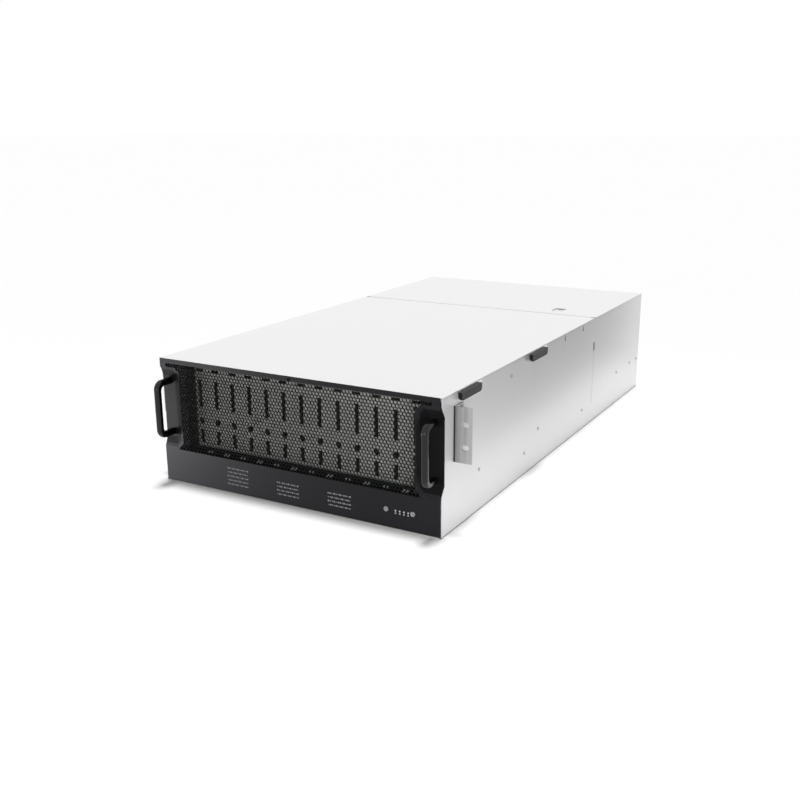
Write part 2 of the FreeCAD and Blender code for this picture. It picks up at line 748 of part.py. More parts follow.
def mid_wall():
    """The wall behind the drives, with a round opening for each fan and a flange for the cover's hinge."""
    top = HINGE_HEIGHT - LEAF / 2
    wall = block((-INNER_HALF, INNER_HALF), (MID_WALL, MID_WALL + SHEET), (SHEET, top))
    flange_span = (MID_WALL, HINGE_DEPTH + LEAF_WIDTH)
    flange = block((-INNER_HALF, INNER_HALF), flange_span, (top - SHEET, top))
    openings = []
    for x in fan_places():
        openings.append(rod(vector(x, MID_WALL - OVERCUT, FAN_CENTRE), BACK, FAN_BORE, SHEET + 2 * OVERCUT))
    return wall.fuse(flange).cut(openings).removeSplitter()


def knuckle_spans():
    """Sideways spans of the hinge knuckles, first to last."""
    half = INNER_HALF - HINGE_INSET
    length = 2 * half / KNUCKLES
    spans = []
    for index in range(KNUCKLES):
        start = -half + index * length
        spans.append((start + KNUCKLE_GAP / 2, start + length - KNUCKLE_GAP / 2))
    return spans


def hinge_leaf(side, z_span, spans):
    """A hinge leaf with its knuckles, in front of the pin (side -1) or behind it (side 1)."""
    reach = sorted((HINGE_DEPTH + side * (KNUCKLE_RADIUS + KNUCKLE_GAP), HINGE_DEPTH + side * LEAF_WIDTH))
    half = INNER_HALF - HINGE_INSET
    leaf = block((-half, half), reach, z_span)
    web = sorted((HINGE_DEPTH, HINGE_DEPTH + side * (KNUCKLE_RADIUS + KNUCKLE_GAP)))
    pieces = []
    for span in spans:
        start = vector(span[0], HINGE_DEPTH, HINGE_HEIGHT)
        pieces.append(rod(start, RIGHT, KNUCKLE_RADIUS, span[1] - span[0]))
        pieces.append(block(span, web, z_span))
    bore_start = vector(-BODY_HALF, HINGE_DEPTH, HINGE_HEIGHT)
    bore = rod(bore_start, RIGHT, HINGE_PIN_RADIUS + PIN_GAP, 2 * BODY_HALF)
    return leaf.fuse(pieces).cut(bore).removeSplitter()


def hinge_pin():
    """The pin through all the knuckles."""
    half = INNER_HALF - HINGE_INSET
    return rod(vector(-half, HINGE_DEPTH, HINGE_HEIGHT), RIGHT, HINGE_PIN_RADIUS, 2 * half)


def front_cover():
    """The cover over the drives, with a front lip and side flanges notched for the catches."""
    first = PANEL_SHEET + RUN_GAP
    last = HINGE_DEPTH - KNUCKLE_RADIUS - KNUCKLE_GAP
    sheet = block((-BODY_HALF, BODY_HALF), (first, last), (COVER_BOTTOM, BODY_HEIGHT))
    inner = FLANGE_OUTER - SHEET
    lip_span = (first + RUN_GAP, first + RUN_GAP + SHEET)
    lip = block((-FLANGE_OUTER, FLANGE_OUTER), lip_span, (COVER_BOTTOM - LIP_HEIGHT, COVER_BOTTOM))
    flange_span = (POCKET_DEPTH + PANEL_SHEET + FLANGE_GAP, HINGE_DEPTH - FLANGE_TO_HINGE)
    flange = block((inner, FLANGE_OUTER), flange_span, (FLANGE_BOTTOM, COVER_BOTTOM))
    through = grown((inner, FLANGE_OUTER))
    notches = top_slits(through)
    for setback in CATCH_SETBACKS:
        middle = setback + CATCH_LENGTH / 2
        front = middle - TONGUE_LENGTH / 2 - TONGUE_GAP
        back = middle + TONGUE_LENGTH / 2 + TONGUE_GAP
        room = centred(TONGUE_CENTRE, TONGUE_THICKNESS + TONGUE_GAP)
        notches.append(block(through, (front, back), (FLANGE_BOTTOM - OVERCUT, room[1])))
        notches.append(block(through, (front - CATCH_TRAVEL, back), room))
    flange = flange.cut(notches)
    return sheet.fuse([lip, flange, mirrored(flange)]).removeSplitter()


def pull_spans():
    """Sideways and depth spans of the recess for the rear cover's pull."""
    front = HINGE_DEPTH + PULL_SETBACK
    return centred(PULL_OFFSET, PULL_WIDTH), (front, front + PULL_LENGTH)


def pull_axis():
    """Depth and height of the pull's pivot."""
    depth = HINGE_DEPTH + PULL_SETBACK + PULL_GAP + PULL_PIN_RADIUS + PULL_GAP
    return depth, BODY_HEIGHT - PULL_PIN_RADIUS - PULL_GAP


def rear_cover():
    """The cover over the electronics, with side flanges, a rear flange and a recess for its pull."""
    first = HINGE_DEPTH + KNUCKLE_RADIUS + KNUCKLE_GAP
    rear = BODY_DEPTH + RUN_GAP
    sheet = block((-BODY_HALF, BODY_HALF), (first, rear + SHEET), (COVER_BOTTOM, BODY_HEIGHT))
    inner = FLANGE_OUTER - SHEET
    flange_span = (HINGE_DEPTH + LEAF_WIDTH + FLANGE_GAP, REAR_PANEL - REAR_COVER_TRAVEL - FLANGE_GAP)
    flange = block((inner, FLANGE_OUTER), flange_span, (FLANGE_BOTTOM, COVER_BOTTOM))
    half = BODY_HALF - REAR_FLANGE_INSET
    rear_bottom = BODY_HEIGHT - REAR_FLANGE_HEIGHT
    rear_flange = block((-half, half), (rear, rear + SHEET), (rear_bottom, COVER_BOTTOM))
    x_span, depth_span = pull_spans()
    cup_bottom = COVER_BOTTOM - PULL_CUP
    cup_x = (x_span[0] - SHEET, x_span[1] + SHEET)
    cup_depth = (depth_span[0] - SHEET, depth_span[1] + SHEET)
    cup = block(cup_x, cup_depth, (cup_bottom - SHEET, COVER_BOTTOM))
    cover = sheet.fuse([flange, mirrored(flange), rear_flange, cup]).removeSplitter()
    cutters = [block(x_span, depth_span, (cup_bottom, BODY_HEIGHT + OVERCUT))]
    depth, height = pull_axis()
    cutters.append(rod(vector(cup_x[0] - OVERCUT, depth, height), RIGHT, PULL_PIN_RADIUS + PIN_GAP,
                       PULL_WIDTH + 2 * SHEET + 2 * OVERCUT))
    for x in (-THUMB_OFFSET, THUMB_OFFSET):
        cutters.append(rod(vector(x, rear - OVERCUT, BODY_HEIGHT - THUMB_DROP), BACK,
                           THUMB_SHANK_RADIUS + HOLE_GAP, SHEET + 2 * OVERCUT))
    return cover.cut(cutters)


def rear_cover_pull():
    """The flush pull: a flap with a finger notch on a pin at its front edge."""
    x_span, depth_span = pull_spans()
    depth, height = pull_axis()
    flap_x = (x_span[0] + PULL_GAP, x_span[1] - PULL_GAP)
    z_span = centred(height, PULL_PLATE)
    flap = block(flap_x, (depth, depth_span[1] - PULL_GAP), z_span)
    notch_depth = (depth_span[1] - PULL_NOTCH, depth_span[1])
    notch = block(centred(PULL_OFFSET, PULL_NOTCH), notch_depth, grown(z_span))
    pin = rod(vector(x_span[0] - SHEET, depth, height), RIGHT, PULL_PIN_RADIUS, PULL_WIDTH + 2 * SHEET)
    return flap.cut(notch).fuse(pin).removeSplitter()


def rear_cover_thumbscrews():
    """The two screws that close the rear cover by hand."""
    screws = []
    seat = BODY_DEPTH + RUN_GAP + SHEET
    for x in (-THUMB_OFFSET, THUMB_OFFSET):
        start = vector(x, seat, BODY_HEIGHT - THUMB_DROP)
        head = rod(start, BACK, THUMB_RADIUS, THUMB_LENGTH)
        screws.append(head.fuse(rod(start, -BACK, THUMB_SHANK_RADIUS, THUMB_SHANK)))
    return screws


def catch_grip(setback):
    """The black grip of a right side catch, with slanted lower corners."""
    inner = BODY_HALF + RUN_GAP + TONGUE_SHEET
    top = BODY_HEIGHT - CATCH_TOP_GAP
    bottom = top - CATCH_HEIGHT
    end = setback + CATCH_LENGTH
    outline = [
        (setback, top),
        (setback, bottom + CATCH_CHAMFER),
        (setback + CATCH_CHAMFER, bottom),
        (end - CATCH_CHAMFER, bottom),
        (end, bottom + CATCH_CHAMFER),
        (end, top),
    ]
    return prism([vector(inner, depth, z) for depth, z in outline], RIGHT * CATCH_DEPTH)


def catch_tongue(setback):
    """The steel slide behind the grip, with a tail and a tongue that goes in through the side wall."""
    x_span = (BODY_HALF + RUN_GAP, BODY_HALF + RUN_GAP + TONGUE_SHEET)
    top = BODY_HEIGHT - TONGUE_TOP_GAP
    end = setback + CATCH_LENGTH
    slide = block(x_span, (setback + CATCH_CHAMFER, end), (TONGUE_CENTRE - TONGUE_HEIGHT / 2, top))
    tail = block(x_span, (end, end + TONGUE_TAIL), (top - TONGUE_TAIL_HEIGHT, top))
    reach = FLANGE_OUTER - SHEET - TONGUE_REACH
    tongue = block((reach, x_span[1]), centred(setback + CATCH_LENGTH / 2, TONGUE_LENGTH),
                   centred(TONGUE_CENTRE, TONGUE_THICKNESS))
    return slide.fuse([tail, tongue]).removeSplitter()


def button(x, dimpled):
    """A round push button with a collar behind the panel."""
    start = vector(x, -BUTTON_PROUD, BUTTON_HEIGHT)
    body = rod(start, BACK, BUTTON_RADIUS, BUTTON_PROUD + BUTTON_BACK)
    collar = rod(vector(x, PANEL_SHEET + RUN_GAP, BUTTON_HEIGHT), BACK, BUTTON_COLLAR_RADIUS, BUTTON_COLLAR)
    body = body.fuse(collar).removeSplitter()
    if dimpled:
        body = body.cut(rod(start, BACK, DIMPLE_RADIUS, DIMPLE_DEPTH))
    return body


def indicator_places():
    """Sideways places of the indicator lenses."""
    last = LOCATE_BUTTON_X - INDICATOR_TO_LOCATE
    return [last - index * INDICATOR_PITCH for index in range(INDICATORS)]


def indicator_lenses():
    """The indicator light pipes from the control board to the panel's front."""
    length = CONTROL_FRONT + INDICATOR_PROUD
    return [rod(vector(x, -INDICATOR_PROUD, BUTTON_HEIGHT), BACK, INDICATOR_RADIUS, length)
            for x in indicator_places()]


def control_board():
    """The board behind the buttons, with a switch for each and pillars to the panel."""
    x_span = (POWER_BUTTON_X - CONTROL_MARGIN, LOCATE_BUTTON_X + CONTROL_MARGIN)
    z_span = centred(BUTTON_HEIGHT, CONTROL_HEIGHT)
    solids = [block(x_span, (CONTROL_FRONT, CONTROL_FRONT + CONTROL_BOARD), z_span)]
    for x in (POWER_BUTTON_X, LOCATE_BUTTON_X):
        solids.append(block(centred(x, SWITCH_SIZE), (SWITCH_FACE, CONTROL_FRONT),
                            centred(BUTTON_HEIGHT, SWITCH_SIZE)))
    for x in (x_span[0] + PILLAR_INSET, x_span[1] - PILLAR_INSET):
        for z in (z_span[0] + PILLAR_INSET, z_span[1] - PILLAR_INSET):
            solids.append(rod(vector(x, PANEL_SHEET, z), BACK, PILLAR_RADIUS, CONTROL_FRONT - PANEL_SHEET))
    return solids


def fan_places():
    """Sideways places of the fans."""
    return [(index - (FANS - 1) / 2) * FAN_PITCH for index in range(FANS)]


def fan_frame(x):
    """A square fan frame with a round bore and a motor plate on four struts."""
    depth_span = (FAN_FRONT, FAN_FRONT + FAN_DEPTH)
    frame = block(centred(x, FAN_SIZE), depth_span, (SHEET, SHEET + FAN_SIZE))
    bore_start = vector(x, FAN_FRONT - OVERCUT, FAN_CENTRE)
    frame = frame.cut(rod(bore_start, BACK, FAN_BORE, FAN_DEPTH + 2 * OVERCUT))
    plate_front = depth_span[1] - FAN_HUB_PLATE
    plate_span = (plate_front, depth_span[1])
    plate = rod(vector(x, plate_front, FAN_CENTRE), BACK, FAN_HUB_RADIUS, FAN_HUB_PLATE)
    reach = FAN_SIZE - FAN_WALL
    across = block(centred(x, reach), plate_span, centred(FAN_CENTRE, FAN_STRUT))
    upright = block(centred(x, FAN_STRUT), plate_span, centred(FAN_CENTRE, reach))
    bearing = rod(vector(x, FAN_FRONT, FAN_CENTRE), BACK, FAN_SHAFT_RADIUS + PIN_GAP, FAN_DEPTH + OVERCUT)
    return frame.fuse([plate, across, upright]).cut(bearing).removeSplitter()


def fan_rotor(x):
    """A fan wheel: a hub with flat pitched blades on a short shaft."""
    front = FAN_FRONT + ROTOR_GAP
    back = FAN_FRONT + FAN_DEPTH - FAN_HUB_PLATE - ROTOR_GAP
    hub = rod(vector(x, front, FAN_CENTRE), BACK, ROTOR_HUB_RADIUS, back - front)
    shaft = rod(vector(x, back, FAN_CENTRE), BACK, FAN_SHAFT_RADIUS, ROTOR_GAP + FAN_HUB_PLATE)
    middle = vector(x, (front + back) / 2, FAN_CENTRE)
    tip = math.sqrt((FAN_BORE - ROTOR_TIP_GAP) ** 2 - (BLADE_CHORD / 2) ** 2)
    blades = []
    for index in range(ROTOR_BLADES):
        corner = FreeCAD.Vector(-BLADE_CHORD / 2, -BLADE_THICKNESS / 2, ROTOR_HUB_RADIUS / 2)
        blade = Part.makeBox(BLADE_CHORD, BLADE_THICKNESS, tip - ROTOR_HUB_RADIUS / 2, corner)
        blade.rotate(FreeCAD.Vector(0, 0, 0), UP, BLADE_PITCH)
        blade.rotate(FreeCAD.Vector(0, 0, 0), BACK, 360.0 * index / ROTOR_BLADES)
        blade.translate(middle)
        blades.append(blade)
    return hub.fuse([shaft] + blades)


def midplane_board():
    """The upright board between the fans and the rear bays."""
    half = INNER_HALF - MIDPLANE_INSET
    return block((-half, half), (MIDPLANE, BAY_FRONT), (SHEET, BAY_TOP))


def bay_floors():
    """Heights of the floors of the lower and upper rear bays."""
    return (BAY_BOTTOM + SHEET, BAY_BOTTOM + 2 * SHEET + BAY_CLEAR)


def bay_spans():
    """Sideways spans of the canister bay and the power supply bay."""
    return (-BAY_HALF + SHEET, DIVIDER), (DIVIDER + SHEET, BAY_HALF - SHEET)


def bay_frame():
    """The shelves and uprights that form the rear bays."""
    depth_span = (BAY_FRONT, REAR_PANEL)
    boards = []
    for x in (-BAY_HALF, DIVIDER, BAY_HALF - SHEET):
        boards.append(block((x, x + SHEET), depth_span, (SHEET, BAY_TOP)))
    for z in bay_floors() + (BAY_TOP,):
        boards.append(block((-BAY_HALF, BAY_HALF), depth_span, (z - SHEET, z)))
    return boards[0].fuse(boards[1:]).removeSplitter()


def rear_panel():
    """The rear wall with an opening for each module, air vents and holes for the thumbscrews."""
    panel = block((-INNER_HALF, INNER_HALF), (REAR_PANEL, BODY_DEPTH), (SHEET, WALL_TOP))
    through = grown((REAR_PANEL, BODY_DEPTH))
    cutters = []
    for floor in bay_floors():
        for span in bay_spans():
            cutters.append(block(span, through, (floor, floor + BAY_CLEAR)))
    for index in range(VENT_SLOTS):
        x = (index - (VENT_SLOTS - 1) / 2) * VENT_PITCH
        cutters.append(block(centred(x, VENT_WIDTH), through, (VENT_BOTTOM, VENT_BOTTOM + VENT_HEIGHT)))
    for x in (-THUMB_OFFSET, THUMB_OFFSET):
        cutters.append(rod(vector(x, through[0], BODY_HEIGHT - THUMB_DROP), BACK,
                           THUMB_SHANK_RADIUS + RUN_GAP, SHEET + 2 * OVERCUT))
    return panel.cut(cutters)


def module_spans(span, floor):
    """Sideways and height spans of a rear module in its bay."""
    bottom = floor + MODULE_GAP
    return (span[0] + MODULE_GAP, span[1] - MODULE_GAP), (bottom, bottom + MODULE_HEIGHT)


def power_supply(floor):
    """A power supply: its case, a face built round the inlet, an air grille, the pins and a pull."""
    x_span, z_span = module_spans(bay_spans()[1], floor)
    middle = (z_span[0] + z_span[1]) / 2
    inlet_floor = BODY_DEPTH - INLET_DEPTH
    solids = [block(x_span, (BODY_DEPTH - MODULE_DEPTH, inlet_floor), z_span)]
    inlet_x = (x_span[0] + INLET_INSET, x_span[0] + INLET_INSET + INLET_WIDTH)
    inlet_z = centred(middle, INLET_HEIGHT)
    face_span = (inlet_floor, BODY_DEPTH)
    solids.append(block((x_span[0], inlet_x[0]), face_span, z_span))
    solids.append(block(inlet_x, face_span, (z_span[0], inlet_z[0])))
    solids.append(block(inlet_x, face_span, (inlet_z[1], z_span[1])))
    cutters = []
    for index in range(GRILLE_SLOTS):
        x = x_span[0] + GRILLE_INSET + index * GRILLE_PITCH
        cutters.append(block((x, x + GRILLE_SLOT_WIDTH), (BODY_DEPTH - GRILLE_DEPTH, BODY_DEPTH + OVERCUT),
                             centred(middle, GRILLE_SLOT_HEIGHT)))
    solids.append(block((inlet_x[1], x_span[1]), face_span, z_span).cut(cutters))
    pin_width, pin_height, pin_length = INLET_PIN
    for step in (-1, 0, 1):
        x = (inlet_x[0] + inlet_x[1]) / 2 + step * INLET_PIN_PITCH
        depth_span = (inlet_floor, inlet_floor + pin_length)
        solids.append(block(centred(x, pin_width), depth_span, centred(middle, pin_height)))
    bar_x = (inlet_x[1] + PULL_GAP, inlet_x[1] + PULL_GAP + PULL_BAR)
    reach = BODY_DEPTH + PULL_BAR_REACH
    for z in centred(middle, PULL_BAR_SPAN - PULL_BAR):
        solids.append(block(bar_x, (BODY_DEPTH, reach - PULL_BAR), centred(z, PULL_BAR)))
    solids.append(block(bar_x, (reach - PULL_BAR, reach), centred(middle, PULL_BAR_SPAN)))
    return solids


def power_release(floor):
    """The release tab of a power supply, at the outer edge of its face."""
    x_span, z_span = module_spans(bay_spans()[1], floor)
    right = x_span[1]
    face = BODY_DEPTH + RUN_GAP
    z_span = centred((z_span[0] + z_span[1]) / 2, RELEASE_HEIGHT)
    foot = block((right - RELEASE_WIDTH, right), (face, face + RELEASE_FOOT), z_span)
    tab = block((right - RELEASE_FOOT, right), (face, face + RELEASE_REACH), z_span)
    return foot.fuse(tab).removeSplitter()


def port_spans(floor):
    """Sideways and height spans of the ports of a canister."""
    x_span, z_span = module_spans(bay_spans()[0], floor)
    top = z_span[1] - PORT_DROP
    spans = []
    for index in range(PORTS):
        x = x_span[0] + PORT_INSET + index * PORT_PITCH
        spans.append(((x, x + PORT_WIDTH), (top - PORT_HEIGHT, top)))
    return spans


def lever_pivot(floor):
    """Sideways place, depth and lower height of a canister's lever at its pivot."""
    x_span, z_span = module_spans(bay_spans()[0], floor)
    return x_span[0] + LEVER_INSET, BODY_DEPTH + RUN_GAP + LUG_ROUND, z_span[0] + LEVER_RAISE


def canister_case(x_span, z_span):
    """The sheets of a canister in front of its face: floor, lid, two sides and the end."""
    depth_span = (BODY_DEPTH - MODULE_DEPTH, BODY_DEPTH - PORT_DEPTH - MODULE_WALL)
    inner_depth = (depth_span[0] + MODULE_WALL, depth_span[1])
    inner_z = (z_span[0] + MODULE_WALL, z_span[1] - MODULE_WALL)
    return [
        block(x_span, depth_span, (z_span[0], inner_z[0])),
        block(x_span, depth_span, (inner_z[1], z_span[1])),
        block((x_span[0], x_span[0] + MODULE_WALL), inner_depth, inner_z),
        block((x_span[1] - MODULE_WALL, x_span[1]), inner_depth, inner_z),
        block(x_span, (depth_span[0], inner_depth[0]), inner_z),
    ]


def canister_face(x_span, z_span, ports):
    """The face of a canister: a plate behind the ports, a bar under and over them, and posts beside them."""
    plate_depth = BODY_DEPTH - PORT_DEPTH
    depth_span = (plate_depth, BODY_DEPTH)
    port_z = ports[0][1]
    solids = [
        block(x_span, (plate_depth - MODULE_WALL, plate_depth), z_span),
        block(x_span, depth_span, (z_span[0], port_z[0])),
        block(x_span, depth_span, (port_z[1], z_span[1])),
    ]
    left_edges = [x_span[0]] + [port_x[1] for port_x, port_z in ports]
    right_edges = [port_x[0] for port_x, port_z in ports] + [x_span[1]]
    for post_x in zip(left_edges, right_edges):
        solids.append(block(post_x, depth_span, port_z))
    return solids


def canister(floor):
    """A hollow interface canister with its ports, and two lugs with a pin between them for the lever."""
    x_span, z_span = module_spans(bay_spans()[0], floor)
    solids = canister_case(x_span, z_span) + canister_face(x_span, z_span, port_spans(floor))
    x, depth, bottom = lever_pivot(floor)
    for z in (bottom - RUN_GAP - LUG_THICKNESS, bottom + LEVER_HEIGHT + RUN_GAP):
        lug = block(centred(x, 2 * LUG_ROUND), (BODY_DEPTH, depth), (z, z + LUG_THICKNESS))
        solids.append(lug.fuse(rod(vector(x, depth, z), UP, LUG_ROUND, LUG_THICKNESS)).removeSplitter())
    solids.append(rod(vector(x, depth, bottom - RUN_GAP), UP, LEVER_PIN_RADIUS, LEVER_HEIGHT + 2 * RUN_GAP))
    return solids


def canister_lever(floor):
    """The lever that draws a canister out, lying along its face."""
    x, depth, bottom = lever_pivot(floor)
    eye = rod(vector(x, depth, bottom), UP, LUG_ROUND, LEVER_HEIGHT)
    arm = block((x, x + LEVER_LENGTH), centred(depth, LEVER_THICKNESS), (bottom, bottom + LEVER_HEIGHT))
    bore = rod(vector(x, depth, bottom - OVERCUT), UP, LEVER_PIN_RADIUS + LEVER_PIN_GAP,
               LEVER_HEIGHT + 2 * OVERCUT)
    return eye.fuse(arm).cut(bore).removeSplitter()


os.makedirs("parts", exist_ok=True)

# Case
save("base_pan", base_pan())
save_pair("side_wall", side_wall())
save("front_panel", front_panel())
save("front_mesh", *front_mesh())
pocket = handle_pocket()
save("handle_pockets", pocket, mirrored(pocket))
save("rear_panel", rear_panel())
save_pair("handle", handle())
save("handle_screws", *handle_screws())
save_pair("rack_ear", rack_ear())
wall_screws = [side_screw(0, depth, z) for depth, z in SIDE_SCREWS]
wall_screws += [side_screw(EAR_SHEET, depth, z) for depth, z in ear_screw_places()]
save("side_screws", *wall_screws, *[mirrored(screw) for screw in wall_screws])

# Drive cage
save("cage_front_wall", cage_front_wall())
save("cage_sides", cage_side(), mirrored(cage_side()))
save("row_partitions", *row_partitions())
save("mid_wall", mid_wall())
save("status_board", status_board())
save("status_lenses", *status_lenses())
for number, start in enumerate(row_starts(), 1):
    save("drives_row_" + str(number), *row_of_drives(start))
save("carrier_grips", *carrier_grips())
save("backplane_boards", *backplane_boards())
save("drive_connectors", *drive_connectors())

# Covers and catches
front_leaf_span = (COVER_BOTTOM - LEAF, COVER_BOTTOM)
rear_leaf_span = centred(HINGE_HEIGHT, LEAF)
save("top_cover_front", front_cover())
save("cover_hinge_front_leaf", hinge_leaf(-1, front_leaf_span, knuckle_spans()[1::2]))
save("cover_hinge_rear_leaf", hinge_leaf(1, rear_leaf_span, knuckle_spans()[0::2]))
save("cover_hinge_pin", hinge_pin())
save("top_cover_rear", rear_cover())
save("rear_cover_pull", rear_cover_pull())
save("rear_cover_thumbscrews", *rear_cover_thumbscrews())
for place, setback in zip(("front", "middle"), CATCH_SETBACKS):
    save_pair("catch_grip_" + place, catch_grip(setback))
    save_pair("catch_tongue_" + place, catch_tongue(setback))

# Controls
save("power_button", button(POWER_BUTTON_X, False))
save("locate_button", button(LOCATE_BUTTON_X, True))
save("indicator_lenses", *indicator_lenses())
save("control_board", *control_board())

# Fans and rear modules
save("fan_frames", *[fan_frame(x) for x in fan_places()])
for number, x in enumerate(fan_places(), 1):
    save("fan_rotor_" + str(number), fan_rotor(x))
save("midplane_board", midplane_board())
save("bay_frame", bay_frame())
for level, floor in zip(("lower", "upper"), bay_floors()):
    save("power_supply_" + level, *power_supply(floor))
    save("power_release_" + level, power_release(floor))
    save("canister_" + level, *canister(floor))
    save("canister_lever_" + level, canister_lever(floor))

print("body", 2 * BODY_HALF, BODY_DEPTH, BODY_HEIGHT)
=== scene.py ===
# %% [markdown]
# # A disk enclosure for a rack
# This lesson dresses a finished mechanical model, a low steel case for sixty upright disk drives.
# The case comes in with every sheet, screw and hinge in place, so nothing here moves or reshapes
# it. What is added is what a drawing of sheet metal leaves out: the fine perforation of the front,
# the print beside the controls, the finishes, and a photographer's white table with soft light.

# %% Load the mechanical model
import math

import bpy
import numpy as np
from mathutils import Matrix, Vector


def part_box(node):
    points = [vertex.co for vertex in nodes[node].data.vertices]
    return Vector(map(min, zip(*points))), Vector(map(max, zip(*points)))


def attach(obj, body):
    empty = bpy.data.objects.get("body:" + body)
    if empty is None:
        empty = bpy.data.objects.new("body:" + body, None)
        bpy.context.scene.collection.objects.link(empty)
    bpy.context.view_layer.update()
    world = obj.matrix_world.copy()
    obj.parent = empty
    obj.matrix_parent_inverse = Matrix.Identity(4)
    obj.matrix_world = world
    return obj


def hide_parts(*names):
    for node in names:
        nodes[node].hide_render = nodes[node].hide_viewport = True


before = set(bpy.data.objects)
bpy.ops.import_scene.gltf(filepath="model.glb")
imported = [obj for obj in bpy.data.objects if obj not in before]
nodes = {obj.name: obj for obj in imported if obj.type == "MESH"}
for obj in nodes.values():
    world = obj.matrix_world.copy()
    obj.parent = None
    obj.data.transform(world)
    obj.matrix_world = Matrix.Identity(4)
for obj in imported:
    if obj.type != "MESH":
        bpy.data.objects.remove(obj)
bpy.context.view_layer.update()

print("pieces of the mechanical model:", len(nodes))

# %% [markdown]
# ## A tool for new pieces
# Every new piece below is worked out as arrays of corner points and of faces that name them. One
# function turns such arrays into an object that sits at the origin, with its place in its mesh, and
# lets it move with a body of the model.

# %% A tool for new pieces
MM = 0.001


def make_piece(name, points, faces, body):
    """An object from an array of points and a list of face index arrays, riding on a body."""
    mesh = bpy.data.meshes.new(name)
    mesh.from_pydata(points.tolist(), [], [face for block in faces for face in block.tolist()])
    mesh.validate()
    piece = bpy.data.objects.new(name, mesh)
    bpy.context.scene.collection.objects.link(piece)
    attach(piece, body)
    print(name, "points:", len(mesh.vertices), "faces:", len(mesh.polygons))
    return piece


# %% [markdown]
# ## The perforated front
# On the real case the window is a steel sheet punched with small hexagons, five millimetres from
# one to the next, in staggered rows. An image or a transparent pattern would look flat from the
# side, and cutting two thousand holes with a boolean is slow. A staggered pattern has a simpler
# reading: every hole sits in a cell that is itself a hexagon, and the cells fill the sheet like
# tiles. So one hole is a ring of six quads between a large and a small hexagon, and the whole sheet
# is that ring repeated over a grid.

# %% The staggered grid of holes
sheet_low, sheet_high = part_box("front_mesh")
HOLE_PITCH = 5.0 * MM
HOLE_ACROSS_FLATS = 4.0 * MM
ROW_STEP = HOLE_PITCH * math.sqrt(3) / 2
HOLE_ROWS = 28
COLUMNS_EACH_SIDE = 41
TOP_ROW_DROP = 2.45 * MM
SHEET_THICKNESS = sheet_high.y - sheet_low.y

columns = np.arange(-COLUMNS_EACH_SIDE, COLUMNS_EACH_SIDE + 1)
row, column = np.meshgrid(np.arange(-1, HOLE_ROWS + 1), columns, indexing="ij")
centre_x = column * HOLE_PITCH + np.where(row % 2 == 0, HOLE_PITCH / 2, 0.0)
centre_z = sheet_high.z - TOP_ROW_DROP - row * ROW_STEP
print("cells in the grid:", centre_x.size)

# %% [markdown]
# The field isn't a plain rectangle. It widens at its top and bottom corners, where the handle
# pockets are cut off at a slant, and its first rows and its last one reach further out than the
# rest. The outline is given as a half width for each height, and a cell that crosses it is squeezed
# onto it.

# %% The outline of the field
FIELD_HALF_WIDTH = 182.1 * MM
LOWER_SLANT = 9.5 * MM
UPPER_SLANT = 7.3 * MM
STRIP_HEIGHT = 5.2 * MM
ROW_REACH = 180.1 * MM
FIRST_ROW_REACH = 187.6 * MM
WIDE_ROW_REACH = 185.1 * MM
strip_foot = sheet_high.z - STRIP_HEIGHT
field_heights = np.array([sheet_low.z, sheet_low.z + LOWER_SLANT, strip_foot - UPPER_SLANT,
                          strip_foot, sheet_high.z])
field_half_widths = FIELD_HALF_WIDTH + np.array([LOWER_SLANT, 0, 0, UPPER_SLANT, UPPER_SLANT])
row_reach = np.full(HOLE_ROWS + 2, ROW_REACH)
row_reach[[0, -1]] = 0.0
row_reach[1] = FIRST_ROW_REACH
row_reach[[2, -2]] = WIDE_ROW_REACH


def squeeze(x, z):
    """Points moved onto the field's outline where they lie outside it: first in height, then
    sideways to the half width that belongs to that height."""
    z = np.clip(z, field_heights[0], field_heights[-1])
    reach = np.interp(z, field_heights, field_half_widths)
    return np.clip(x, -reach, reach), z


punched = np.abs(centre_x) <= row_reach[:, None]
print("holes in the field:", int(punched.sum()))

# %% Rings and plain tiles
turn = np.radians(90 + 60 * np.arange(6))
hexagon = np.stack([np.cos(turn), np.sin(turn)], axis=1)


def hexagons(x, z, across_flats):
    """Corner points of hexagons about many centres: centre plus a unit hexagon times half the
    flats' distance over the cosine of 30 degrees."""
    size = across_flats / math.sqrt(3)
    return x[:, None] + size * hexagon[:, 0], z[:, None] + size * hexagon[:, 1]


def flat_points(x, z):
    """Points of the sheet's front face from sideways places and heights."""
    return np.stack([x.ravel(), np.full(x.size, sheet_low.y), z.ravel()], axis=1)


def ring_faces(count):
    """Six quads per hole, from the inner to the outer hexagon and on to their next corners. The
    outer corners of all holes come first and the inner ones follow."""
    first = 6 * np.arange(count)[:, None] + np.arange(6)
    second = 6 * np.arange(count)[:, None] + (np.arange(6) + 1) % 6
    inner = 6 * count
    return np.stack([first + inner, first, second, second + inner], axis=-1).reshape(-1, 4)


SLIVER_AREA = 0.01 * MM * MM
outer_x, outer_z = squeeze(*hexagons(centre_x[punched], centre_z[punched], HOLE_PITCH))
inner_x, inner_z = hexagons(centre_x[punched], centre_z[punched], HOLE_ACROSS_FLATS)
plain_x, plain_z = squeeze(*hexagons(centre_x[~punched], centre_z[~punched], HOLE_PITCH))
next_x, next_z = np.roll(plain_x, -1, axis=1), np.roll(plain_z, -1, axis=1)
plain_area = 0.5 * np.abs((plain_x * next_z - next_x * plain_z).sum(axis=1))
kept = plain_area > SLIVER_AREA
print("plain tiles along the edges:", int(kept.sum()))

# %% [markdown]
# The top row runs on past the field, over the pockets, as three more holes on each side in a narrow
# strip. Their cells are rectangles, and the same ring joins a rectangle's four corners and two
# middles to the hexagon.

